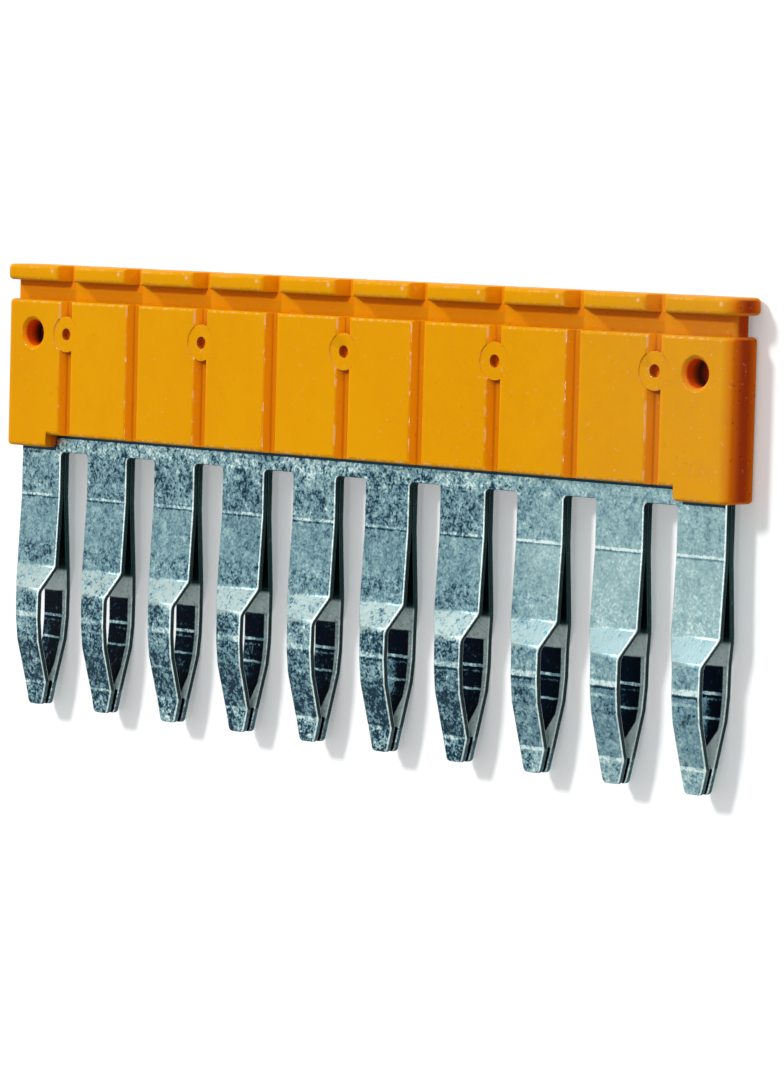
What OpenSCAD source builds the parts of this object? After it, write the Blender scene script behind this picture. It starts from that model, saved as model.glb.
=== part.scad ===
// Push-in jumper bar for a row of rail-mounted terminal blocks.
// Two stamped and formed contact combs lie back to back in one moulded insulating housing.
// The bar lies on its back: X runs along the bar, +Y points to the grip cap, -Y to the contact tips,
// and +Z is the face with the bores. The origin is at the middle of the footprint, on the ground.

/* [Pole pattern] */
// Number of poles
poles = 10; // [2:2:20]
// Distance from one pole to the next
pitch = 6.1; // [5:0.1:8]

/* [Housing body] */
// Thickness of the body, front to back
body_t = 2.7; // [2.4:0.1:3.4]
// Height of the body, from its ledge to its straight lower edge
body_h = 8.5; // [7:0.5:12]
// Plastic beyond each end of the combs
end_wall = 0.7; // [0.5:0.1:1.5]
// Length of the foot at each end of the lower edge
foot_l = 3.9; // [2.5:0.1:5]
// Drop of the feet below the lower edge
foot_h = 0.8; // [0.4:0.1:1]
// Rounding of the upright end corners
end_r = 0.65; // [0.2:0.05:0.9]
// Rounding of the long edges
edge_r = 0.25; // [0.05:0.05:0.4]

/* [Neck and grip cap] */
// Thickness of the neck
neck_t = 1.2; // [0.8:0.1:1.8]
// Height of the neck
neck_h = 1.2; // [0.8:0.1:2]
// How far the neck stops short of the body's ends
neck_inset = 0.2; // [0.1:0.05:0.6]
// Depth of the cap, front to back
cap_t = 2.9; // [2.7:0.1:4]
// Height of the cap
cap_h = 1; // [0.8:0.1:2]
// How far the cap reaches past the body at each end
cap_over = 0.15; // [0:0.05:0.5]
// Rounding of the cap's corners, seen from above
cap_end_r = 0.75; // [0.3:0.05:1.2]
// Rounding of the cap's long edges
cap_edge_r = 0.28; // [0.1:0.02:0.4]

/* [Grooves and notches at the pole boundaries] */
// Width of a groove at the body's face
groove_w = 1.15; // [0.8:0.05:1.6]
// Width of its floor
groove_floor = 0.3; // [0.2:0.02:0.5]
// Depth of a groove
groove_d = 0.42; // [0.2:0.02:0.5]
// Rounding of its lips
groove_lip_r = 0.28; // [0.1:0.02:0.4]
// Width of a cap notch at the cap's face
notch_w = 1.6; // [1.2:0.1:2]
// Width of its floor
notch_floor = 0.3; // [0.2:0.02:0.5]
// Rounding of its lips
notch_lip_r = 0.32; // [0.1:0.02:0.5]
// Rounding at the root of grooves and notches
root_r = 0.12; // [0.04:0.02:0.2]

/* [End bores, posts and their marks] */
// Diameter of the bore at each end pole
bore_d = 1.6; // [1:0.1:2]
// Diameter of the bore's flared rim
rim_d = 2.1; // [1.8:0.1:2.4]
// Depth of the flared rim
rim_depth = 0.25; // [0.1:0.05:0.4]
// Distance of the bores and posts below the ledge
hole_drop = 2.1; // [1.8:0.1:3]
// Plastic lining between bore and combs
lining = 0.4; // [0.3:0.05:0.6]
// Diameter of a post through the combs
post_d = 1.3; // [0.8:0.1:1.6]
// Diameter of the flat round mark over a post
mark_d = 2.25; // [1.8:0.05:2.6]
// How deep the mark is sunk into the face
mark_sink = 0.06; // [0.04:0.01:0.2]
// Diameter of the blind pin hole in the mark
pin_hole_d = 0.75; // [0.5:0.05:1]
// Depth of the pin hole below the mark
pin_hole_depth = 0.45; // [0.2:0.05:0.6]

/* [Combs] */
// Sheet thickness of a comb
comb_t = 0.4; // [0.3:0.05:0.5]
// Gap between the two combs
comb_gap = 0.04; // [0.02:0.01:0.1]
// Clearance of the combs in the housing
comb_clear = 0.02; // [0.01:0.01:0.05]
// Clearance round the posts and linings
post_clear = 0.08; // [0.04:0.01:0.15]
// Distance from the ledge down to the combs' upper edge
comb_drop = 0.7; // [0.4:0.05:0.8]
// Bridge between the teeth that shows below the housing
bridge_show = 1.1; // [0.9:0.05:2]
// Widening of the housing's slot at its mouth, on each side
mouth = 0.14; // [0.05:0.01:0.3]

/* [Tooth outline] */
// Width of a tooth's stem
stem_w = 3.6; // [3:0.1:4.5]
// Width of the contact zone
contact_w = 2.1; // [1.5:0.1:2.8]
// Width where the leaves meet again
closing_w = 1.94; // [1.4:0.02:2.6]
// Width of the tip
tip_w = 1.2; // [0.8:0.05:1.6]
// Rounding of the tip's corners
tip_r = 0.3; // [0.1:0.05:0.4]
// Rounding of the stem's shoulders
shoulder_r = 0.9; // [0.3:0.1:1.5]
// Rounding in the corners between the teeth
gap_r = 0.25; // [0.1:0.05:0.5]

/* [Tooth profile, from the housing down] */
// Length over which the two leaves lie flat together
flat_l = 3.9; // [3:0.1:6]
// Length over which they part slowly
spring_l = 4.5; // [3:0.1:6]
// Length of the flare out to the contact zone
flare_l = 1.6; // [1.2:0.1:2.5]
// Length of the contact zone
contact_l = 1.7; // [1:0.05:3]
// Length of the first fall back from it
fall_l = 1.4; // [1:0.1:2]
// Length over which the leaves close
closing_l = 2.7; // [2:0.05:4]
// Length of the closed tip
tip_l = 1.45; // [1.2:0.05:2.5]
// Outer distance of a leaf from the middle plane at the shoulder
shoulder_out = 0.69; // [0.6:0.01:0.9]
// The same at the contact zone
contact_out = 1.42; // [1.1:0.01:1.5]
// The same at the end of the fall
fall_out = 1.28; // [1:0.01:1.4]
// The same where the leaves meet again
closing_out = 0.53; // [0.5:0.01:0.65]
// The same at the tip
tip_out = 0.5; // [0.46:0.01:0.6]
// Bend radius of the leaves
bend_r = 0.8; // [0.5:0.1:1.2]

/* [Hidden] */
$fn = 48;
// Facets in a rounded corner, and in a bend
corner_steps = 4;
bend_steps = 4;
// How far a cutter reaches past what it cuts
past = 1;

// Lengths along the bar
comb_l = (poles - 1) * pitch + stem_w;
body_l = comb_l + 2 * end_wall;
neck_l = body_l - 2 * neck_inset;
cap_l = body_l + 2 * cap_over;
// Levels down from the top of the cap
neck_top = cap_h;
ledge = neck_top + neck_h;
lower_edge = ledge + body_h;
foot_bottom = lower_edge + foot_h;
hole_level = ledge + hole_drop;
comb_top = ledge + comb_drop;
bridge_bottom = lower_edge + bridge_show;
part_level = lower_edge + flat_l;
shoulder_level = part_level + spring_l;
contact_level = shoulder_level + flare_l;
fall_level = contact_level + contact_l;
closing_start = fall_level + fall_l;
closing_level = closing_start + closing_l;
tip_level = closing_level + tip_l;
total_h = tip_level;
// The ground lies under the thickest part
total_t = max(cap_t, body_t, 2 * contact_out);
// Outer distance of a flat leaf from the middle plane
flat_out = comb_gap / 2 + comb_t;
slot_t = 2 * (flat_out + comb_clear);
slot_l = comb_l + 2 * comb_clear;

// Vector v turned anticlockwise
function turned(v, angle) = [v.x * cos(angle) - v.y * sin(angle), v.x * sin(angle) + v.y * cos(angle)];

// Direction from a to b
function heading(a, b) = (b - a) / norm(b - a);

// Points of a corner at p, between a and b, rounded to radius r
function corner(a, p, b, r) =
  let (u = heading(p, a), v = heading(p, b), half = acos(u * v) / 2)
  let (c = p + (u + v) / norm(u + v) * r / sin(half), start = p + u * r / tan(half) - c)
  let (turn = sign(cross(start, p + v * r / tan(half) - c)) * (180 - 2 * half) / corner_steps)
  [for (k = [0:corner_steps]) c + turned(start, k * turn)];

// Outline through the points p, each corner rounded to its own radius in r
function rounded(p, r) =
  let (n = len(p))
  [for (i = [0:n - 1]) each corner(p[(i + n - 1) % n], p[i], p[(i + 1) % n], r[i])];

// Points beside the bend at p of a path from a to b, at the distance off to its left
function bend(a, p, b, off) =
  let (u = heading(a, p), v = heading(p, b), turn = sign(cross(u, v)), angle = acos(u * v))
  let (left = turned(u, 90), c = p - u * bend_r * tan(angle / 2) + left * turn * bend_r)
  [for (k = [0:bend_steps]) c + turned(left, turn * angle * k / bend_steps) * (off - turn * bend_r)];

// One side of a sheet that follows the path q, at the distance off to its left
function sheet_side(q, off) =
  let (n = len(q), first = turned(heading(q[0], q[1]), 90), last = turned(heading(q[n - 2], q[n - 1]), 90))
  concat(
    [q[0] + first * off],
    [for (i = [1:n - 2]) each bend(q[i - 1], q[i], q[i + 1], off)],
    [q[n - 1] + last * off]
  );

function reversed(q) = [for (i = [len(q) - 1:-1:0]) q[i]];

// Places along the bar
function pole_x(i) = (i - (poles - 1) / 2) * pitch;
function boundary_x(i) = pole_x(i) - pitch / 2;

// Stands the drawing's levels on the row frame: level 0 is the cap's top edge
module placed() {
  translate([0, total_h / 2, total_t / 2]) children();
}

// A shape drawn as (x, level), carried through the whole thickness
module through_z(t) {
  mirror([0, 1, 0]) translate([0, 0, -t / 2]) linear_extrude(t) children();
}

// A shape drawn as (level, z), carried along the bar
module along_x(l) {
  translate([l / 2, 0, 0]) rotate([0, 0, -90]) rotate([90, 0, 0]) linear_extrude(l) children();
}

// A shape drawn as (x, z), carried from one level down to another
module down_y(from, to) {
  translate([0, -from, 0]) rotate([90, 0, 0]) linear_extrude(to - from) children();
}

// Rectangle with its four corners rounded
module rounded_box_2d(x0, x1, y0, y1, r) {
  polygon(rounded([[x0, y0], [x1, y0], [x1, y1], [x0, y1]], [r, r, r, r]));
}

// Cross-section of a groove with rounded lips, open towards +Y, whose face lies at y = 0
module valley_2d(w, floor_w, depth, lip_r) {
  far = w + past;
  lip_l = corner([-far, 0], [-w / 2, 0], [-floor_w / 2, -depth], lip_r);
  root_l = corner([-w / 2, 0], [-floor_w / 2, -depth], [floor_w / 2, -depth], root_r);
  half = concat([[lip_l[0].x, past]], lip_l, root_l);
  polygon(concat(half, [for (p = reversed(half)) [-p.x, p.y]]));
}

// Valleys at every pole boundary, cut into both faces of something of thickness t
module valleys_2d(t, w, floor_w, depth, lip_r) {
  for (i = [1:poles - 1]) translate([boundary_x(i), 0]) {
    translate([0, t / 2]) valley_2d(w, floor_w, depth, lip_r);
    mirror([0, 1]) translate([0, t / 2]) valley_2d(w, floor_w, depth, lip_r);
  }
}

// Block between two levels, with upright corners of radius corner_r and all its edges rounded to soft_r
module soft_block(l, t, from, to, corner_r, soft_r) {
  along_x(l - 2 * corner_r) rounded_box_2d(from, to, -t / 2, t / 2, soft_r);
  through_z(t - 2 * corner_r) rounded_box_2d(-l / 2, l / 2, from, to, soft_r);
  for (end = [0, 1], side = [0, 1]) mirror([end, 0, 0]) mirror([0, 0, side])
    translate([l / 2 - corner_r, 0, t / 2 - corner_r]) rotate([90, 0, 0])
      rotate_extrude(angle = 90) soft_corner_2d(from, to, corner_r, soft_r);
}

// Half section of an upright corner as (distance from its axis, level)
module soft_corner_2d(from, to, corner_r, soft_r) {
  polygon(concat(
    [[0, to], [0, from]],
    corner([0, from], [corner_r, from], [corner_r, to], soft_r),
    corner([corner_r, from], [corner_r, to], [0, to], soft_r)
  ));
}

// Grip cap: soft all round and notched at every pole boundary
module cap() {
  difference() {
    soft_block(cap_l, cap_t, 0, cap_h, cap_end_r, cap_edge_r);
    down_y(-past, cap_h + past)
      valleys_2d(cap_t, notch_w, notch_floor, (cap_t - neck_t) / 2, notch_lip_r);
  }
}

// Neck between the cap and the body, sunk a little into both
module neck() {
  down_y(cap_h / 2, ledge + edge_r * 2)
    rounded_box_2d(-neck_l / 2, neck_l / 2, -neck_t / 2, neck_t / 2, end_r / 2);
}

// Opening between the feet, as (x, level)
module foot_gap_2d() {
  x = body_l / 2 - foot_l;
  low = foot_bottom + past;
  foot_r = foot_h / 4;
  half = concat(
    [[x + foot_r + past, low]], corner([x + past, foot_bottom], [x, foot_bottom], [x, lower_edge], foot_r),
    corner([x, foot_bottom], [x, lower_edge], [0, lower_edge], foot_r / 2)
  );
  polygon(concat(half, [for (p = reversed(half)) [-p.x, p.y]]));
}

// What the rounding of one long lower edge takes away, as (level, z)
module lower_edge_2d() {
  z = body_t / 2;
  round = corner([ledge, z], [lower_edge, z], [lower_edge, 0], edge_r);
  polygon(concat(round, [
    [lower_edge + past, z - edge_r], [lower_edge + past, z + past], [lower_edge - edge_r, z + past]
  ]));
}

// Body: the block with its feet and grooves
module body_block() {
  difference() {
    soft_block(body_l, body_t, ledge, foot_bottom, end_r, edge_r);
    through_z(body_t + past) foot_gap_2d();
    for (side = [0, 1]) mirror([0, 0, side]) along_x(body_l - 2 * foot_l) lower_edge_2d();
    down_y(ledge - past, foot_bottom + past)
      valleys_2d(body_t, groove_w, groove_floor, groove_d, groove_lip_r);
  }
}

// Room for the combs, open below, with a wider mouth between the feet
module comb_slot() {
  down_y(comb_top - comb_clear, foot_bottom + past) square([slot_l, slot_t], center = true);
  along_x(body_l - 2 * foot_l - 2 * mouth) polygon([
    [lower_edge - 2 * mouth, slot_t / 2], [lower_edge + past, slot_t / 2 + mouth + past / 2],
    [lower_edge + past, -slot_t / 2 - mouth - past / 2], [lower_edge - 2 * mouth, -slot_t / 2]
  ]);
}

// Puts its children at the two end poles
module at_end_poles() {
  for (i = [0, poles - 1]) translate([pole_x(i), -hole_level, 0]) children();
}

// Puts its children at every second pole boundary, where a post holds the combs
module at_posts() {
  for (i = [1:2:poles - 1]) translate([boundary_x(i), -hole_level, 0]) children();
}

// Bore with a flared rim in both faces
module end_bore() {
  cylinder(d = bore_d, h = body_t + past, center = true);
  for (side = [0, 1]) mirror([0, 0, side]) translate([0, 0, body_t / 2 - rim_depth])
    cylinder(d1 = bore_d, d2 = bore_d + (rim_d - bore_d) * 2, h = 2 * rim_depth);
}

// Flat mark and blind pin hole over a post, in both faces
module post_mark() {
  face = body_t / 2;
  for (side = [0, 1]) mirror([0, 0, side]) {
    translate([0, 0, face - mark_sink]) cylinder(d = mark_d, h = past);
    translate([0, 0, face - mark_sink - pin_hole_depth]) cylinder(d = pin_hole_d, h = past);
  }
}

// Moulded housing in one piece
module housing() {
  color("orange") placed() difference() {
    union() {
      cap();
      neck();
      difference() {
        body_block();
        comb_slot();
      }
      at_end_poles() cylinder(d = bore_d + 2 * lining, h = slot_t + groove_d, center = true);
      at_posts() cylinder(d = post_d, h = slot_t + groove_d, center = true);
      at_posts() for (side = [0, 1]) mirror([0, 0, side])
        translate([0, 0, slot_t / 2]) cylinder(d = mark_d, h = (body_t - slot_t) / 2 - mark_sink / 2);
    }
    at_end_poles() end_bore();
    at_posts() post_mark();
  }
}

// Outline of one tooth's right half as (x, level), from the gap beside it to the tip
function tooth_half() = [
  [stem_w / 2, bridge_bottom], [stem_w / 2, shoulder_level], [contact_w / 2, contact_level],
  [closing_w / 2, closing_level], [tip_w / 2, tip_level]
];
tooth_half_r = [gap_r, shoulder_r, shoulder_r, shoulder_r, tip_r];

// Flat pattern of a comb: a bridge with its teeth
module comb_pattern_2d() {
  half = tooth_half();
  teeth = [for (i = [poles - 1:-1:0]) each concat(
    [for (p = half) [pole_x(i) + p.x, p.y]], [for (p = reversed(half)) [pole_x(i) - p.x, p.y]])];
  teeth_r = [for (i = [0:poles - 1]) each concat(tooth_half_r, reversed(tooth_half_r))];
  // The outermost tooth edges run straight up into the bridge
  n = len(teeth);
  inner = [for (i = [1:n - 2]) teeth[i]];
  inner_r = [for (i = [1:n - 2]) teeth_r[i]];
  polygon(rounded(
    concat([[comb_l / 2, comb_top]], inner, [[-comb_l / 2, comb_top]]),
    concat([gap_r], inner_r, [gap_r])));
}

// Side profile of a leaf as (level, z): flat, parted, flared, closed again
module leaf_profile_2d() {
  mid = comb_t / 2;
  path = [
    [comb_top - past, flat_out - mid], [part_level, flat_out - mid], [shoulder_level, shoulder_out - mid],
    [contact_level, contact_out - mid], [fall_level, contact_out - mid], [closing_start, fall_out - mid],
    [closing_level, closing_out - mid], [tip_level + past, tip_out - mid]
  ];
  polygon(concat(sheet_side(path, mid), reversed(sheet_side(path, -mid))));
}

// One comb, formed towards +Z
module comb() {
  difference() {
    intersection() {
      through_z(2 * total_t) comb_pattern_2d();
      along_x(comb_l + past) leaf_profile_2d();
    }
    at_end_poles() cylinder(d = bore_d + 2 * (lining + post_clear), h = total_t, center = true);
    at_posts() cylinder(d = post_d + 2 * post_clear, h = total_t, center = true);
  }
}

module front_comb() {
  color("silver") placed() comb();
}

module rear_comb() {
  color("lightsteelblue") placed() mirror([0, 0, 1]) comb();
}

housing();
front_comb();
rear_comb();
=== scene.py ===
"""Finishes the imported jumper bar: a moulded orange housing, two tin-plated contact combs, and a studio."""

import math

import bmesh
import bpy
from mathutils import Matrix, Vector


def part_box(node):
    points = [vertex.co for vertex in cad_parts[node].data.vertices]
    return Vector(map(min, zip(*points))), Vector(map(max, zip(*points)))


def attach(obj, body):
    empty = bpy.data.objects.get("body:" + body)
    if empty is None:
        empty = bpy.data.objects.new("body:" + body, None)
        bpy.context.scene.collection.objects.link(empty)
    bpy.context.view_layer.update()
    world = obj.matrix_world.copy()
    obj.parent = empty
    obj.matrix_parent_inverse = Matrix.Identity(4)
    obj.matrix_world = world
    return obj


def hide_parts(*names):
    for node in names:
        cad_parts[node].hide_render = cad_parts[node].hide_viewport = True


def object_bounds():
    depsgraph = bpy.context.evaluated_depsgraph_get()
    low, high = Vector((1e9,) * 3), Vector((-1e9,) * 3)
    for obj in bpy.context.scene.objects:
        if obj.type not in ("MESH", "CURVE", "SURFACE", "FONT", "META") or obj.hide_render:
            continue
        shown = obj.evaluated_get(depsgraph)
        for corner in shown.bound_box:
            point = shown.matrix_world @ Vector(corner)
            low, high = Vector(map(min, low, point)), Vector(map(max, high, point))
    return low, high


bl_info = {
    "name": "Jumper bar finish",
    "version": (1, 0, 0),
    "blender": (4, 5, 0),
    "location": "3D View > Sidebar > Jumper bar",
    "description": "Finishes the housing and the contact combs of a terminal block jumper bar",
    "category": "Object",
}

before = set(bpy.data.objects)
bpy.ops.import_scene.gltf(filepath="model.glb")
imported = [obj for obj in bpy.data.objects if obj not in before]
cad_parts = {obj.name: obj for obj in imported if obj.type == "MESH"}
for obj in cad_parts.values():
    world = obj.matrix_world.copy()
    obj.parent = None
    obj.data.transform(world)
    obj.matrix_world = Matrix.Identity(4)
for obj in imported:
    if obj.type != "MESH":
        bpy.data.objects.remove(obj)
CAD_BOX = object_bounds()
HOUSING_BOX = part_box("housing")

# Places and sizes on the bar, in metres
MM = 0.001
PITCH = 6.1 * MM
MID_PLANE = (CAD_BOX[1].z + CAD_BOX[0].z) / 2
FOOT_DROP = 0.8 * MM
FOOT_START = HOUSING_BOX[1].x - 4.05 * MM
FOOT_SOFT = 0.1 * MM
BORE_X = HOUSING_BOX[1].x - 2.65 * MM
BORE_Y = HOUSING_BOX[1].y - 4.3 * MM
BORE_RADIUS = 0.8 * MM
BORE_SOFT = 0.1 * MM
HOLLOW_REACH = 0.9 * MM
PLATE_RELIEF = 0.008 * MM

# Stretches along the bar over which something fades in, in metres from its middle
END_WALLS = (28.4 * MM, 29.2 * MM)
END_CORNERS = (28.3 * MM, 28.9 * MM)
WORN_END = (5 * MM, 30 * MM)
SHEEN_END = (12 * MM, 30 * MM)
LAST_TEETH = (9 * MM, 19 * MM)
DARK_LINED_TEETH = (-4 * MM, 8 * MM)

# The housing's levels, in millimetres below the top of its cap
CAP_BOTTOM = 1.0
LEDGE = 2.2
LEDGE_SOFT = 0.05
NECK = (1.6, 0.6, 0.04)
UNDER_CAP = (1.40, 1.55)
BODY_TOP = (2.65, 0.20, 0.25)
DOT_LEVEL = 0.36

# The housing's heights, in millimetres out from its mid-plane
HALF_BODY = 1.35
HALF_CAP = 1.45
GROOVE_DEPTH = 0.42
GROOVE_FLOORS = (0.94, 1.05)
NECK_SIDES = (0.65, 0.75)
PIN_HOLE_FLOORS = (0.80, 0.92)
OUTER_LIPS = (1.11, 1.23)
CAP_FACES = (1.30, 1.40)
END_FACE_GLOW = (0.10, 1.35)
BORE_DEPTHS = (0.0, 0.85)

# The painted light through a notch, and the painted highlight dot on a cap segment, in millimetres past the
# middle of the notch
NOTCH_LIGHT_START = (0.0, 0.2)
NOTCH_LIGHT_END = (0.4, 0.9)
NOTCH_LIGHT_SLANT = 1.15
DOT_PAST_NOTCH = 4.85
DOT_RADIUS = (0.02, 0.19)

# Levels on a tooth, in millimetres below the body's lower edge, over which something fades in
BRIDGE_END = (0.9, 1.5)
SHADED_STEM = (1.0, 3.5)
LEAVES_PARTED = (8.5, 8.8)
INNER_EDGES = (8.6, 9.0)
CONTACT_START = (9.8, 10.2)
LIT_WALL_START = (11.7, 12.1)
CLOSED = (15.7, 15.8)
TIP = (15.7, 15.9)

# Zones of a tooth in the same millimetres: middle, half height and soft edge
UNDER_BODY = (0.06, 0.10, 0.08)
UPPER_STEM = (2.4, 1.1, 0.8)
LOWER_STEM = (7.5, 0.5, 0.4)
FLARE = (9.2, 0.75, 0.2)
PALE_FLARE = (9.2, 0.70, 0.15)
INNER_FLARE = (9.25, 0.70, 0.12)
CONTACT = (10.6, 0.6, 0.2)
FALL = (12.4, 0.6, 0.3)
RIGHT_RIM = (12.3, 2.4, 0.2)
HOLLOW = (12.95, 2.85, 0.2)
CLOSING = (14.4, 1.2, 0.3)

# Painted highlight lines across a leaf, along its creases and in its hollows: the same three numbers, and the
# strength
CREASES = (
    (3.86, 0.05, 0.06, 1.0),
    (8.4, 0.03, 0.10, 0.3),
    (15.8, 0.05, 0.1, 1.0),
    (11.45, 0.12, 0.1, 0.8),
    (12.15, 0.04, 0.1, 0.5),
)
HOLLOW_LINES = (
    (11.62, 0.06, 0.06, 1.0),
    (13.0, 0.04, 0.06, 0.8),
    (11.95, 0.02, 0.08, 0.3),
)
# Dark lines across a leaf: middle, half height and soft edge
STEM_DARK_LINE = (4.0, 0.03, 0.06)
CONTACT_DARK_LINE = (11.68, 0.05, 0.07)

# Places across a tooth, in millimetres right of its middle
RIM_START = (0.68, 0.78)
LIT_WALL = (-0.5, 0.3)

# The slanting line in a hollow below which light falls on the inner face
LIGHT_LINE = (13.5, 13.75)
LIGHT_LINE_PIVOT = 0.9
LIGHT_LINE_RISE = 0.011 / MM
LIGHT_LINE_SLOPE = 2.85
LIGHT_LINE_SLOPE_LOSS = 0.042 / MM

# The combs: their name, the side of the mid-plane they lie on, and the seed of their mottle
COMBS = (("front", 1.0, 20.0), ("rear", -1.0, 50.0))

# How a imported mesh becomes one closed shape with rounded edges
WELD = 1e-7
SHORTEST_EDGE = 0.02 * MM
FLAT_ANGLE = math.radians(0.5)
SHARP_ANGLE = math.radians(32)
SMOOTH_ANGLE = math.radians(40)

# The studio: where its light comes from, its floor, and the fitted camera
WHITE = (1.0, 1.0, 1.0, 1.0)
SOFT_SIDE = (-0.50, 0.85, 0.17)
SOFT_SIDE_REACH = (-0.2, 1.0)
KEY_FROM = Vector((-0.38, 0.62, 1.0))
RIM_FROM = Vector((0.45, -0.02, 0.89))
FLOOR_HALF = 3.0
FLOOR_COLOUR = (0.765, 0.778, 0.784, 1.0)
FLOOR_LIFT = 0.275
CAMERA_TURN = math.radians(43.74)
CAMERA_RISE = math.radians(4.18)
CAMERA_ROLL = math.radians(1.52)
CAMERA_RIGHT = 2.255 * MM
CAMERA_UP = -1.168 * MM


def colour_property(name, description, default):
    """A colour that a user may change."""
    return bpy.props.FloatVectorProperty(
        name=name, description=description, subtype="COLOR", size=3, min=0.0, max=1.0, default=default
    )


def length_property(name, description, default):
    """A length in metres that a user may change."""
    return bpy.props.FloatProperty(
        name=name, description=description, unit="LENGTH", min=0.0, precision=5, default=default
    )


def factor_property(name, description, default, top=1.0):
    """A plain share or strength that a user may change."""
    return bpy.props.FloatProperty(name=name, description=description, min=0.0, max=top, default=default)


def spread_property(name, description, degrees):
    """The angle that a lamp fills, which a user may change."""
    return bpy.props.FloatProperty(
        name=name, description=description, subtype="ANGLE", default=math.radians(degrees)
    )


class JumperHousingSettings(bpy.types.PropertyGroup):
    """Sizes and colours of the moulded housing."""

    edge_round: length_property("Edge rounding", "Rounding of the moulding's sharp edges", 0.04 * MM)
    face: colour_property("Face", "Orange of the moulded faces", (0.70, 0.305, 0.0))
    warm: colour_property("Warm patch", "Slightly deeper orange of the flow marks", (0.67, 0.275, 0.0))
    # Painted shade: stands in for the shading of the walls that look along the bar and of the grooves
    side: colour_property("Side", "Redder orange of the walls that look along the bar", (0.84, 0.26, 0.0))
    neck: colour_property("Neck", "Orange of the neck in the cap's shade", (0.53, 0.17, 0.0))
    # Painted shade in the corners and groove floors
    corner_shade: colour_property("Deep", "Red orange that gathers in corners", (0.42, 0.09, 0.0))
    # Painted shade on the end faces
    end: colour_property("End faces", "Red brown of the two end faces", (0.40, 0.036, 0.0))
    # Painted light along the end faces' long edges and on the neck under the cap
    painted_light: colour_property("End glow", "Orange of the end faces at their long edges", (0.95, 0.20, 0.0))
    # Painted shade in the pin holes and bores
    throat: colour_property("Throat", "Red that shines through the walls of the bores", (0.85, 0.11, 0.0))
    # Pale specks, and the painted highlights on lips and cap segments and the painted sheen
    specks_and_highlights: colour_property("Bloom", "Pale specks and rubbed lips", (0.80, 0.50, 0.28))
    # Small stains, and painted shade far inside the bores
    grime_and_shade: colour_property("Grime", "Brown of the small stains and the bores", (0.05, 0.008, 0.001))
    roughness: factor_property("Roughness", "Roughness of the moulded surface", 0.34)
    grain: length_property("Grain", "Height of the fine mould texture", 0.004 * MM)


class JumperCombSettings(bpy.types.PropertyGroup):
    """Sizes and colours of the contact combs."""

    edge_round: length_property("Edge rounding", "Rounding of the stamped edges", 0.10 * MM)
    tin: colour_property("Tin", "Clean tin plate", (0.27, 0.42, 0.43))
    dull: colour_property("Dull tin", "Blue grey of the duller plate", (0.125, 0.240, 0.285))
    # Small stains, and the painted shade of the dark zones and under the housing
    stain_and_shade: colour_property("Stain", "Dark blue of the small stains", (0.010, 0.034, 0.055))
    # Pale plate, and the painted highlights and reflections on rolled edges and bends
    bright: colour_property("Bright tin", "Freshly rubbed plate", (0.62, 0.74, 0.72))
    # Painted reflection on the flared bends
    flare: colour_property("Flare", "Pale plate of the flared bends", (0.31, 0.385, 0.37))
    # Sheared edges, and the painted shade between the stems
    shear: colour_property("Sheared edge", "Green black of the sheared edges", (0.011, 0.034, 0.035))
    shade: colour_property("Shade", "Blue black of the hollows and tight corners", (0.0005, 0.003, 0.008))
    roughness: factor_property("Roughness", "Roughness of the tin plate", 0.30)


class JumperStageSettings(bpy.types.PropertyGroup):
    """Light, floor and camera."""

    key_strength: factor_property("Key light", "Strength of the key light", 2.0, top=10.0)
    soft_side: factor_property("Soft side", "Strength of the light from above and the left", 1.15, top=10.0)
    dim_side: factor_property("Dim side", "Strength of the light from below and the right", 0.2, top=10.0)
    key_spread: spread_property("Key spread", "Angle that the key light fills", 9)
    rim_strength: factor_property("Rim light", "Strength of the light that edges catch", 0.35, top=10.0)
    rim_spread: spread_property("Rim spread", "Angle that the rim light fills", 9)
    camera_distance: length_property("Camera distance", "Distance from the camera to the bar", 0.2957)
    lens: bpy.props.FloatProperty(name="Lens", description="Focal length in millimetres", default=167.1)


class Socket:
    """A node's output, on which Python's arithmetic adds Math nodes."""

    def __init__(self, graph, output):
        self.graph = graph
        self.output = output

    def math(self, operation, *values):
        return self.graph.node("ShaderNodeMath", {"operation": operation}, dict(enumerate((self, *values))))

    def __add__(self, other):
        return self.math("ADD", other)

    def __radd__(self, other):
        return self.math("ADD", other)

    def __sub__(self, other):
        return self.math("SUBTRACT", other)

    def __rsub__(self, other):
        return self.math("MULTIPLY", -1.0).math("ADD", other)

    def __mul__(self, other):
        return self.math("MULTIPLY", other)

    def __rmul__(self, other):
        return self.math("MULTIPLY", other)

    def __truediv__(self, other):
        return self.math("DIVIDE", other)

    def __abs__(self):
        return self.math("ABSOLUTE")

    def __pow__(self, other):
        return self.math("POWER", other)

    def at_most(self, limit):
        """The smaller of this and a limit."""
        return self.math("MINIMUM", limit)

    def at_least(self, limit):
        """The larger of this and a limit."""
        return self.math("MAXIMUM", limit)

    def above(self, low, high):
        """Goes smoothly from 0 at low to 1 at high."""
        settings = {"interpolation_type": "SMOOTHSTEP"}
        inputs = {"Value": self, "From Min": low, "From Max": high}
        return self.graph.node("ShaderNodeMapRange", settings, inputs)

    def band(self, middle, half_width, soft):
        """1 within half_width of the middle, falling smoothly to 0 over soft."""
        return 1.0 - abs(self - middle).above(half_width, half_width + soft)


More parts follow.
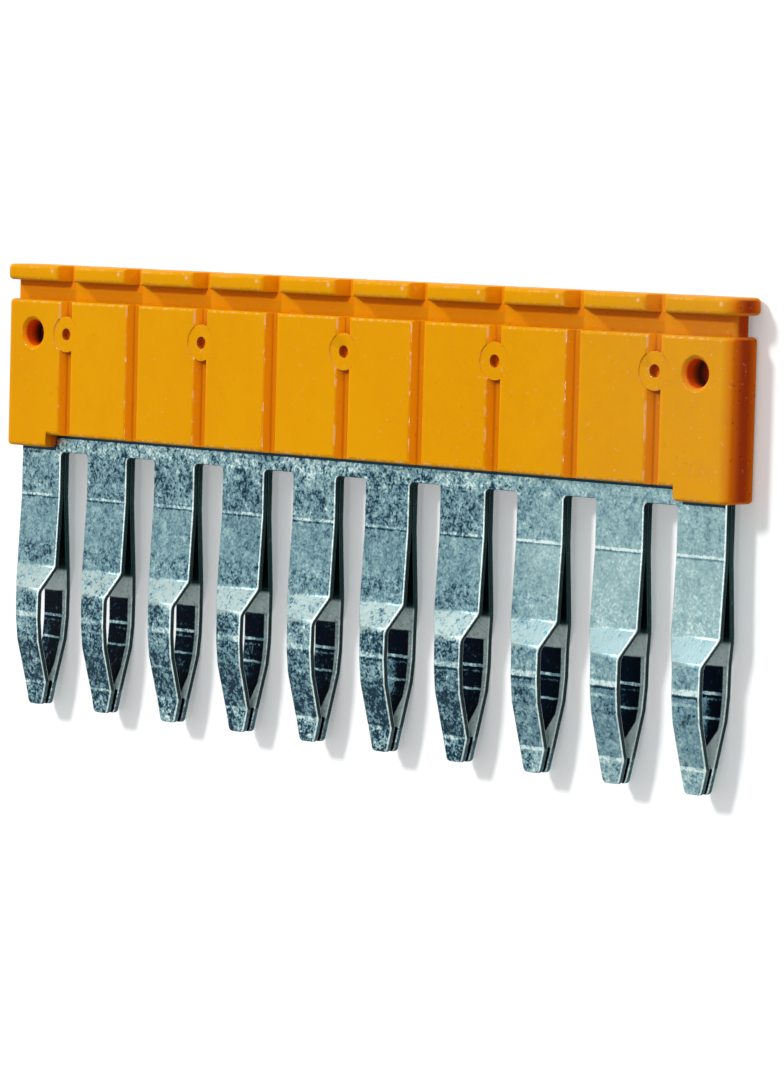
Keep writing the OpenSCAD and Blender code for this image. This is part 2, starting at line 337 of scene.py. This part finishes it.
class Graph:
    """The node tree of one material or of the world."""

    def __init__(self, tree):
        self.tree = tree
        self.tree.nodes.clear()

    def node(self, kind, settings=None, inputs=None, output=0):
        """Adds a node: its settings first, then the values or links of its sockets."""
        made = self.tree.nodes.new(kind)
        for key, value in (settings or {}).items():
            setattr(made, key, value)
        for key, value in (inputs or {}).items():
            if isinstance(value, Socket):
                self.tree.links.new(value.output, made.inputs[key])
            else:
                made.inputs[key].default_value = value
        return Socket(self, made.outputs[output]) if made.outputs else None

    def place(self):
        """Place on the piece, in metres."""
        return self.node("ShaderNodeTexCoord", output="Object")

    def sky(self):
        """Direction in which the world is looked at."""
        return self.node("ShaderNodeTexCoord", output="Generated")

    def facing(self):
        """The surface's own direction, in the piece's frame."""
        return self.node("ShaderNodeTexCoord", output="Normal")

    def parts(self, vector):
        """The three numbers of a vector."""
        split = self.node("ShaderNodeSeparateXYZ", inputs={0: vector})
        outputs = split.output.node.outputs
        return tuple(Socket(self, outputs[i]) for i in range(3))

    def stretched(self, vector, scale):
        """A vector whose three numbers are scaled apart."""
        return self.node("ShaderNodeVectorMath", {"operation": "MULTIPLY"}, {0: vector, 1: scale})

    def noise(self, vector, size, detail, roughness, seed, distortion=0.0):
        """Cloudy noise whose features are about size metres across."""
        inputs = {"Vector": vector, "W": seed, "Scale": 1.0 / size, "Detail": detail, "Roughness": roughness}
        inputs["Distortion"] = distortion
        return self.node("ShaderNodeTexNoise", {"noise_dimensions": "4D"}, inputs)

    def mix(self, share, first, second):
        """A colour between two others, which may be sockets or plain colours."""
        inputs = {0: share}
        for key, colour in ((6, first), (7, second)):
            inputs[key] = colour if isinstance(colour, Socket) else (*colour, 1.0)
        return self.node("ShaderNodeMix", {"data_type": "RGBA"}, inputs, output=2)

    def bump(self, height, distance):
        """A normal that follows a height, where 1 stands for distance metres."""
        return self.node("ShaderNodeBump", inputs={"Height": height, "Distance": distance, "Strength": 1.0})


def new_material(name):
    """A material with an empty node tree."""
    material = bpy.data.materials.new(name)
    material.use_nodes = True
    return material, Graph(material.node_tree)


class HousingRegions:
    """Where a point of the moulding lies and faces, and the regions it is in, as masks from 0 to 1."""

    def __init__(self, graph):
        self.place = graph.place()
        self.x, y, z = graph.parts(self.place)
        self.facing_x, facing_y, facing_z = graph.parts(graph.facing())
        self.along = abs(self.facing_x)
        self.upward = abs(facing_y)
        self.outward = abs(facing_z)
        self.level = (HOUSING_BOX[1].y - y) / MM
        self.height = abs(z - MID_PLANE) / MM
        self.past_notch = (self.x / PITCH).math("FRACT") * (PITCH / MM)
        self.end_face = self.along.above(0.72, 0.98) * abs(self.x).above(*END_WALLS)
        self.body = self.level.above(LEDGE, LEDGE + LEDGE_SOFT)
        self.neck = self.level.band(*NECK) * (1.0 - self.height.above(*NECK_SIDES))
        # Ambient occlusion finds the corners and hollows that get painted shade
        occlusion = {"samples": 6, "only_local": True}
        hollow = graph.node("ShaderNodeAmbientOcclusion", occlusion, {"Distance": HOLLOW_REACH}, output="AO")
        self.corner_shade = (1.0 - hollow).above(0.12, 0.62)
        away = ((abs(self.x) - BORE_X) ** 2.0 + (y - BORE_Y) ** 2.0) ** 0.5
        self.bore = 1.0 - away.above(BORE_RADIUS, BORE_RADIUS + BORE_SOFT)


def moulded_plastic(settings):
    """Satin orange thermoplastic with flow marks, fine grain and stains, painted shade in redder hollows and
    dark bores, and painted highlights.
    """
    material, graph = new_material("moulded_orange")
    on = HousingRegions(graph)
    flow = graph.noise(graph.stretched(on.place, (1.0, 0.4, 1.0)), 6 * MM, 3.0, 0.6, seed=1.7)
    cloud = graph.noise(on.place, 1.1 * MM, 4.0, 0.65, seed=4.1)
    marks = flow.above(0.35, 0.7) * 0.6 + cloud.above(0.40, 0.75) * 0.4
    face = graph.mix(marks, settings.face, settings.warm)
    face = walls_and_corners(graph, on, settings, face)
    face = holes_and_ends(graph, on, settings, face)
    worn = on.x.above(*WORN_END)
    specks = graph.noise(on.place, 0.26 * MM, 1.0, 0.5, seed=12.0).above(0.67, 0.75)
    face = graph.mix(specks * (0.04 + flow.above(0.4, 0.6) * 0.06 + worn * 0.14), face, settings.specks_and_highlights)
    stains = graph.noise(on.place, 0.30 * MM, 1.0, 0.5, seed=9.0).above(0.66, 0.74)
    patches = graph.noise(on.place, 4.5 * MM, 1.0, 0.5, seed=3.0).above(0.50, 0.62)
    grime_and_shade = stains * (patches * 0.10 + on.corner_shade * 0.5 + on.end_face * 0.6)
    face = graph.mix(grime_and_shade + worn * cloud * 0.16, face, settings.grime_and_shade)
    # Painted highlights on the lips and cap segments; the lips' mask also gives them their coat
    lip_highlight = painted_lip_highlights(graph, on)
    pale = (lip_highlight * (0.20 + on.body * 0.15) + cap_highlight_dots(on) * 0.7).at_most(1.0)
    face = graph.mix(pale, face, settings.specks_and_highlights)
    # Painted sheen: a pale cloud over the right part of the bar, but not its end faces
    painted_sheen = on.x.above(*SHEEN_END) * (1.0 - on.end_face) * cloud * 0.07
    face = graph.mix(painted_sheen, face, settings.specks_and_highlights)
    grain = graph.noise(on.place, 0.09 * MM, 2.0, 0.6, seed=2.0)
    dents = graph.noise(on.place, 0.9 * MM, 2.0, 0.5, seed=6.0)
    plastic = {
        "Base Color": face,
        "Roughness": settings.roughness + cloud * 0.12 + grime_and_shade * 0.2,
        "Normal": graph.bump(grain + dents * 2.0, settings.grain),
        "Coat Weight": lip_highlight * on.body * 0.8,
        "Coat Roughness": 0.12,
        "IOR": 1.5,
        "Specular IOR Level": 0.03,
    }
    made = graph.node("ShaderNodeBsdfPrincipled", inputs=plastic)
    graph.node("ShaderNodeOutputMaterial", inputs={"Surface": made})
    return material


def walls_and_corners(graph, on, settings, face):
    """Painted shade: redder walls and grooves, a shaded neck with painted light through the notches and under
    the cap, and red orange in the corners.
    """
    # Painted shade: sunk faces and the walls that look along the bar turn a redder orange
    sunk = 1.0 - (on.height + on.body * (HALF_CAP - HALF_BODY)).above(HALF_CAP - GROOVE_DEPTH, HALF_BODY)
    wall = on.along.above(0.15, 0.75)
    face = graph.mix(((sunk * 0.5 + wall) * (1.0 - on.end_face)).at_most(1.0), face, settings.side)
    # Painted shade on the neck under the cap, with painted light where it falls through the notches
    light_end = on.past_notch - (on.level - CAP_BOTTOM) * NOTCH_LIGHT_SLANT
    lit = on.past_notch.above(*NOTCH_LIGHT_START) * (1.0 - light_end.above(*NOTCH_LIGHT_END))
    face = graph.mix(on.neck * (0.85 - lit * 0.6), face, settings.neck)
    # Painted shade: groove floors and the corners that ambient occlusion finds turn red orange
    floor = on.body * on.outward.above(0.3, 0.6) * (1.0 - on.height.above(*GROOVE_FLOORS))
    corners = (on.corner_shade * 0.9 + floor * 0.45).at_most(1.0) * (1.0 - on.end_face) * (1.0 - on.neck * 0.5)
    face = graph.mix(corners, face, settings.corner_shade)
    # Painted light: a brighter red on the band of neck just under the cap, where the cap's shadow falls
    under_cap = on.neck * (1.0 - on.level.above(*UNDER_CAP)) * (1.0 - lit)
    return graph.mix(under_cap * 0.35, face, settings.painted_light)


def holes_and_ends(graph, on, settings, face):
    """Painted shade and light: red pin holes, dark end faces lighter along their long edges, and bores that
    darken with depth.
    """
    # Painted shade: red pin holes
    pin_hole = on.body * (1.0 - on.height.above(*PIN_HOLE_FLOORS)) * (1.0 - on.end_face)
    pin_hole = pin_hole * (1.0 - on.upward.above(0.85, 0.97))
    face = graph.mix(pin_hole * 0.8, face, settings.throat)
    # Painted shade on the end faces, with painted light along their long edges
    end = graph.mix(on.height.above(*END_FACE_GLOW), settings.end, settings.painted_light)
    face = graph.mix(on.end_face, face, end)
    # Painted shade: the bores turn red, and dark brown far inside
    face = graph.mix(on.bore, face, settings.throat)
    return graph.mix(on.bore * (1.0 - on.height.above(*BORE_DEPTHS)), face, settings.grime_and_shade)


def painted_lip_highlights(graph, on):
    """The outer lips that don't face the first pole, with painted highlights in dashes, and whole at the
    body's top.
    """
    lip = on.outward.above(0.76, 0.86) * (1.0 - on.outward.above(0.955, 0.985))
    dashes = graph.noise(graph.stretched(on.place, (1.0, 0.45, 1.0)), 0.40 * MM, 2.0, 0.6, seed=8.0)
    whole = on.level.band(*BODY_TOP) * on.facing_x.above(0.1, 0.3)
    glint = dashes.above(0.50, 0.58).at_least(whole)
    plain = (1.0 - on.corner_shade) * (1.0 - on.bore) * (1.0 - on.neck) * (1.0 - abs(on.x).above(*END_CORNERS))
    return lip * plain * glint * on.facing_x.above(-0.3, -0.1) * on.height.above(*OUTER_LIPS)


def cap_highlight_dots(on):
    """The painted highlight dot near the right end of each cap segment."""
    from_dot = ((on.past_notch - DOT_PAST_NOTCH) ** 2.0 + (on.level - DOT_LEVEL) ** 2.0) ** 0.5
    return (1.0 - from_dot.above(*DOT_RADIUS)) * on.height.above(*CAP_FACES)


class CombRegions:
    """Where a point of a comb lies and faces, and the regions it is in, as masks from 0 to 1."""

    def __init__(self, graph, outer, seed):
        self.place = graph.place()
        self.x, y, _ = graph.parts(self.place)
        facing_x, _, facing_z = graph.parts(graph.facing())
        pole = (self.x / PITCH).math("FLOOR")
        tooth_noise = graph.node("ShaderNodeTexWhiteNoise", {"noise_dimensions": "1D"}, {"W": pole + seed})
        self.tooth = tooth_noise - 0.5
        self.across = ((self.x / PITCH).math("FRACT") - 0.5) * (PITCH / MM)
        self.drop = (HOUSING_BOX[0].y + FOOT_DROP - y) / MM
        self.last_teeth = self.x.above(*LAST_TEETH)
        self.outside = (facing_z * outer).above(-0.3, 0.3)
        self.inside = 1.0 - self.outside
        self.edge_on = abs(facing_x)
        self.sheared = 1.0 - abs(facing_z).above(0.25, 0.45)
        self.closed = self.drop.above(*CLOSED)
        self.tip = self.drop.above(*TIP)


class PlateSpots:
    """The plate's mottle: noises around 0 from coarse to fine, thin curls, and what is made of them."""

    def __init__(self, graph, on, seed):
        self.coarse = graph.noise(on.place, 1.3 * MM, 3.0, 0.6, seed=seed) - 0.5
        blotch = graph.noise(on.place, 0.60 * MM, 3.0, 0.6, seed=seed + 2.0, distortion=0.6) - 0.5
        self.grains = graph.noise(on.place, 0.30 * MM, 1.0, 0.6, seed=seed + 3.0, distortion=1.2) - 0.5
        self.fine = graph.noise(on.place, 0.15 * MM, 1.0, 0.6, seed=seed + 5.0) - 0.5
        curled = graph.stretched(on.place, (1.0, 0.6, 1.0))
        curled = graph.noise(curled, 0.42 * MM, 1.0, 0.5, seed=seed + 7.0, distortion=1.6) - 0.5
        self.curls = 1.0 - abs(curled).above(0.0, 0.035)
        self.streaks = graph.noise(
            graph.stretched(on.place, (9.0, 0.6, 1.0)), 0.9 * MM, 3.0, 0.6, seed=seed + 11.0
        )
        mottle = self.coarse * 0.5 + blotch * 0.8 + self.grains * 1.3 + self.fine * 0.7
        self.mottle = mottle * (1.0 - on.last_teeth * 0.35)
        self.broken = (self.grains + self.coarse).above(-0.10, 0.10)
        self.wavy_drop = on.drop + blotch * 0.15


def lines_across(level, lines):
    """Thin lines across a leaf, from their levels, half heights, soft edges and strengths."""
    return sum(level.band(middle, half, soft) * strength for middle, half, soft, strength in lines)


def tin_colour(graph, settings, tone):
    """The plate's colour from stains and painted shade, through dull and clean plate, to the bright tin of
    pale plate and painted highlights.
    """
    colour = graph.mix(tone.above(0.0, 0.38), settings.stain_and_shade, settings.dull)
    colour = graph.mix(tone.above(0.30, 0.66), colour, settings.tin)
    return graph.mix(tone.above(0.60, 1.0), colour, settings.bright)


def tin_plate(settings, name, outer, seed):
    """Dull tin plate: mottled, with painted reflection and shade by zone and in the hollows, painted
    highlights at its bends and rolled edges, and dark where it is sheared.
    """
    material, graph = new_material(name)
    on = CombRegions(graph, outer, seed)
    spots = PlateSpots(graph, on, seed)
    colour = tin_colour(graph, settings, outer_tone(on, spots))
    # Painted reflection: the flared bends turn pale, duller on the last teeth
    flare = graph.mix(on.last_teeth * 0.45, settings.flare, settings.dull)
    colour = graph.mix(on.drop.band(*PALE_FLARE) * (0.72 + spots.mottle * 2.4).at_most(1.0), colour, flare)
    # Painted shade in the hollow between the leaves, and painted light on the inner faces that catch it
    cavity = on.drop.band(*HOLLOW) * on.inside * (1.0 - on.across.above(*RIM_START))
    colour = graph.mix(cavity, colour, hollow_colour(graph, on, spots, settings))
    pale_inside = lit_inside(on)
    colour = graph.mix(pale_inside, colour, tin_colour(graph, settings, 0.90 + spots.mottle * 0.6))
    colour = plate_edges(graph, on, spots, settings, colour)
    plate = {
        "Base Color": colour,
        "Roughness": settings.roughness + 0.08 + spots.coarse * 0.2 + on.sheared * 0.25,
        "Metallic": 1.0 - on.sheared * 0.7 - pale_inside * 0.8,
        "Normal": graph.bump(spots.grains * 0.8 + spots.fine * 0.4 + spots.streaks * 0.5, PLATE_RELIEF),
        "Specular IOR Level": 0.2,
    }
    made = graph.node("ShaderNodeBsdfPrincipled", inputs=plate)
    graph.node("ShaderNodeOutputMaterial", inputs={"Surface": made})
    return material


def outer_tone(on, spots):
    """Brightness of the outer faces: painted reflection and shade by zone, a painted shadow under the
    housing, painted highlights along the creases, and dark lines across.
    """
    mottle_share = 0.75 + on.drop.above(*CONTACT_START) * 0.20
    # Painted reflection and shade: the last teeth lighter, and each zone of a tooth lighter or darker below
    tone = 0.41 + on.last_teeth * 0.25 + on.tooth * 0.05 + spots.mottle * mottle_share
    for zone, first, last, grain in (
        (1.0 - on.drop.above(*BRIDGE_END), 0.09, -0.12, 0.8),
        (on.drop.band(*UPPER_STEM), -0.08, -0.11, 0.45),
        (on.drop.band(*LOWER_STEM), -0.07, 0.0, 0.3),
        (on.drop.band(*FLARE), 0.08, -0.16, 0.2),
        (on.drop.band(*CONTACT), -0.13, -0.16, 0.5),
        (on.drop.band(*FALL), -0.18, -0.32, 0.4),
        (on.drop.band(*CLOSING), -0.29, -0.28, 0.4),
        (on.tip, -0.22, -0.12, 1.0),
    ):
        shift = first + on.last_teeth * (last - first) + spots.mottle * grain * (1.0 - on.last_teeth * 0.5)
        tone = tone + zone * (shift + spots.curls * grain * 0.16)
    # Painted shadow along the housing's lower edge
    under_foot = abs(on.x).above(FOOT_START - FOOT_SOFT, FOOT_START) * (FOOT_DROP / MM)
    tone = tone - (on.drop - under_foot).band(*UNDER_BODY) * 1.2
    # Painted highlight lines along the creases, and dark lines across the leaf
    crease = lines_across(spots.wavy_drop, CREASES) * (0.20 + spots.broken * 0.20)
    crease = crease * (1.0 + on.last_teeth * 0.6)
    dark_lines = spots.wavy_drop.band(*STEM_DARK_LINE) * 0.7
    dark_lines = dark_lines + spots.wavy_drop.band(*CONTACT_DARK_LINE) * on.x.above(*DARK_LINED_TEETH) * 1.3
    return tone + (crease - dark_lines * 0.36) * on.outside


def hollow_colour(graph, on, spots, settings):
    """The inner faces in a hollow: shaded, with broken bright lines and a lit left wall."""
    line = lines_across(spots.wavy_drop, HOLLOW_LINES) * (0.50 + spots.broken * 0.35)
    lit_wall = (1.0 - on.across.above(*LIT_WALL)) * on.drop.above(*LIT_WALL_START)
    tone = line + lit_wall * (0.12 + on.tooth * 0.5) + spots.mottle * 0.55 - 0.10
    return graph.mix(tone.above(-0.05, 0.14), settings.shade, tin_colour(graph, settings, tone))


def lit_inside(on):
    """The inner faces that catch light: the flares, the low corner of a hollow and its right rim."""
    slope = LIGHT_LINE_SLOPE - on.x * LIGHT_LINE_SLOPE_LOSS
    line = on.drop + on.x * LIGHT_LINE_RISE + (on.across - LIGHT_LINE_PIVOT) * slope
    low_light = line.above(*LIGHT_LINE) * (1.0 - on.closed)
    right_rim = on.across.above(*RIM_START) * on.drop.band(*RIGHT_RIM) * 0.7
    return (on.drop.band(*INNER_FLARE) + low_light).at_least(right_rim) * on.inside


def plate_edges(graph, on, spots, settings, colour):
    """Painted shade where the tips meet, between the stems and high on the sheared edges, painted highlights
    on the rolled edges, and dark sheared edges, burred in lighter specks, with a painted reflection at the
    tips.
    """
    shut = on.closed * on.inside * (1.0 - on.edge_on.above(0.2, 0.4))
    colour = graph.mix(shut, colour, settings.shade)
    # Painted highlights on the rolled edges
    inner_rolled = on.inside * on.drop.above(*INNER_EDGES) * (1.0 - on.closed * 0.6) * 0.5
    rolled = on.edge_on.above(0.15, 0.35) * (1.0 - on.edge_on.above(0.90, 0.97)) * (on.outside + inner_rolled)
    colour = graph.mix(rolled * (0.65 + spots.broken * 0.35), colour, settings.bright)
    # Painted shade in the gap between the stems, in the sheared edges' colour
    stem_inside = (1.0 - on.drop.above(*LEAVES_PARTED)) * on.inside
    colour = graph.mix((on.sheared + stem_inside).at_most(1.0), colour, settings.shear)
    upper_shade = (1.0 - on.drop.above(*SHADED_STEM)) * (0.2 + on.last_teeth * 0.6)
    colour = graph.mix(on.sheared * upper_shade, colour, settings.shade)
    # Burred specks on the sheared edges, and a painted reflection near the tips
    burr_and_reflection = spots.grains.above(0.05, 0.3) * 0.3 + on.tip * (0.30 + spots.broken * 0.35)
    return graph.mix(on.sheared * burr_and_reflection, colour, settings.dull)


def weld(shape, distance):
    """Merges corners closer than distance and dissolves edges inside flat faces."""
    bmesh.ops.remove_doubles(shape, verts=shape.verts, dist=distance)
    bmesh.ops.dissolve_limit(shape, angle_limit=FLAT_ANGLE, verts=shape.verts, edges=shape.edges)


def finished_piece(node, name, edge_round, material):
    """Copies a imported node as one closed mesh, rounds its sharp edges and lets it stand for the node."""
    shape = bmesh.new()
    shape.from_mesh(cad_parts[node].data)
    weld(shape, WELD)
    weld(shape, SHORTEST_EDGE)
    sharp = [edge for edge in shape.edges if edge.calc_face_angle(0.0) > SHARP_ANGLE]
    bmesh.ops.bevel(
        shape, geom=sharp, offset=edge_round, offset_type="OFFSET", segments=2, profile=0.5,
        affect="EDGES", clamp_overlap=False, material=-1
    )
    mesh = bpy.data.meshes.new(name)
    shape.to_mesh(mesh)
    shape.free()
    mesh.materials.append(material)
    piece = bpy.data.objects.new(name, mesh)
    bpy.context.collection.objects.link(piece)
    mesh.shade_smooth()
    mesh.set_sharp_from_angle(angle=SMOOTH_ANGLE)
    shading = piece.modifiers.new("flat faces stay flat", "WEIGHTED_NORMAL")
    shading.keep_sharp = True
    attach(piece, "root")
    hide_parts(node)


class OBJECT_OT_jumper_housing(bpy.types.Operator):
    """Finish the moulded housing"""

    bl_idname = "object.jumper_housing"
    bl_label = "Housing"

    def execute(self, context):
        settings = context.scene.jumper_housing
        material = moulded_plastic(settings)
        finished_piece("housing", "moulded_housing", settings.edge_round, material)
        return {"FINISHED"}


class OBJECT_OT_jumper_combs(bpy.types.Operator):
    """Finish the two contact combs"""

    bl_idname = "object.jumper_combs"
    bl_label = "Contact combs"

    def execute(self, context):
        settings = context.scene.jumper_combs
        for side, outer, seed in COMBS:
            material = tin_plate(settings, side + "_tin_plate", outer, seed)
            finished_piece(side + "_comb", side + "_contact_comb", settings.edge_round, material)
        return {"FINISHED"}


def seen_share(graph):
    """1 for what the camera, a reflection or a transparent piece looks at, and 0 for light itself."""
    rays = graph.node("ShaderNodeLightPath").output.node.outputs
    camera, glossy, transmitted = (
        Socket(graph, rays[name]) for name in ("Is Camera Ray", "Is Glossy Ray", "Is Transmission Ray")
    )
    return camera.at_least(glossy).at_least(transmitted)


def studio_world(settings):
    """A pale surround: white where it is seen, and brighter above and to the left as a light."""
    world = bpy.data.worlds.new("studio")
    bpy.context.scene.world = world
    world.use_nodes = True
    graph = Graph(world.node_tree)
    dot_product = {"operation": "DOT_PRODUCT"}
    towards = graph.node("ShaderNodeVectorMath", dot_product, {0: graph.sky(), 1: SOFT_SIDE}, output=1)
    soft = settings.dim_side + towards.above(*SOFT_SIDE_REACH) * (settings.soft_side - settings.dim_side)
    seen = seen_share(graph)
    strength = soft * (1.0 - seen) + seen
    made = graph.node("ShaderNodeBackground", inputs={"Color": WHITE, "Strength": strength})
    graph.node("ShaderNodeOutputWorld", inputs={"Surface": made})


def studio_floor():
    """A wide pale floor that keeps the bar's shadow."""
    shape = bmesh.new()
    bmesh.ops.create_grid(shape, x_segments=1, y_segments=1, size=FLOOR_HALF)
    mesh = bpy.data.meshes.new("floor")
    shape.to_mesh(mesh)
    shape.free()
    floor = bpy.data.objects.new("floor", mesh)
    bpy.context.collection.objects.link(floor)
    material, graph = new_material("white_floor")
    paper = graph.node("ShaderNodeBsdfDiffuse", inputs={"Color": FLOOR_COLOUR})
    lift = seen_share(graph) * FLOOR_LIFT
    glow = graph.node("ShaderNodeEmission", inputs={"Color": WHITE, "Strength": lift})
    both = graph.node("ShaderNodeAddShader", inputs={0: paper, 1: glow})
    graph.node("ShaderNodeOutputMaterial", inputs={"Surface": both})
    mesh.materials.append(material)


def sun_light(name, towards, strength, spread):
    """One soft far light that comes from the given side."""
    lamp = bpy.data.lights.new(name, "SUN")
    lamp.energy = strength
    lamp.angle = spread
    holder = bpy.data.objects.new(name, lamp)
    holder.rotation_euler = towards.to_track_quat("Z", "Y").to_euler()
    bpy.context.collection.objects.link(holder)


def photo_camera(settings):
    """The photograph's camera: turned towards the last pole, a little above the bar's middle."""
    turn, rise, roll = CAMERA_TURN, CAMERA_RISE, CAMERA_ROLL
    right = Vector((math.cos(turn), 0.0, -math.sin(turn)))
    out = Vector((math.sin(turn), 0.0, math.cos(turn)))
    up = Vector((0.0, 1.0, 0.0))
    back = out * math.cos(rise) + up * math.sin(rise)
    up = up * math.cos(rise) - out * math.sin(rise)
    right, up = right * math.cos(roll) + up * math.sin(roll), up * math.cos(roll) - right * math.sin(roll)
    aim = Vector((0.0, 0.0, MID_PLANE)) + right * CAMERA_RIGHT + up * CAMERA_UP
    data = bpy.data.cameras.new("camera")
    data.lens = settings.lens
    data.clip_start = 0.01
    holder = bpy.data.objects.new("camera", data)
    turned = Matrix((right, up, back)).transposed().to_4x4()
    holder.matrix_world = Matrix.Translation(aim + back * settings.camera_distance) @ turned
    bpy.context.collection.objects.link(holder)
    bpy.context.scene.camera = holder


class OBJECT_OT_jumper_stage(bpy.types.Operator):
    """Build the floor, the light and the camera"""

    bl_idname = "object.jumper_stage"
    bl_label = "Stage"

    def execute(self, context):
        settings = context.scene.jumper_stage
        context.scene.view_settings.view_transform = "Standard"
        studio_world(settings)
        studio_floor()
        sun_light("key", KEY_FROM, settings.key_strength, settings.key_spread)
        sun_light("rim", RIM_FROM, settings.rim_strength, settings.rim_spread)
        photo_camera(settings)
        return {"FINISHED"}


class VIEW3D_PT_jumper_bar(bpy.types.Panel):
    """The bar's pieces and their settings"""

    bl_label = "Jumper bar"
    bl_space_type = "VIEW_3D"
    bl_region_type = "UI"
    bl_category = "Jumper bar"

    def draw(self, context):
        for group in GROUPS:
            box = self.layout.box()
            box.operator("object." + group)
            settings = getattr(context.scene, group)
            for name in settings.__annotations__:
                box.prop(settings, name)


GROUPS = {
    "jumper_housing": JumperHousingSettings,
    "jumper_combs": JumperCombSettings,
    "jumper_stage": JumperStageSettings,
}
CLASSES = (OBJECT_OT_jumper_housing, OBJECT_OT_jumper_combs, OBJECT_OT_jumper_stage, VIEW3D_PT_jumper_bar)


def register():
    for name, group in GROUPS.items():
        bpy.utils.register_class(group)
        setattr(bpy.types.Scene, name, bpy.props.PointerProperty(type=group))
    for cls in CLASSES:
        bpy.utils.register_class(cls)


def unregister():
    for cls in reversed(CLASSES):
        bpy.utils.unregister_class(cls)
    for name, group in GROUPS.items():
        delattr(bpy.types.Scene, name)
        bpy.utils.unregister_class(group)


def main():
    register()
    bpy.ops.object.jumper_stage()
    bpy.ops.object.jumper_housing()
    bpy.ops.object.jumper_combs()


if __name__ == "__main__":
    main()
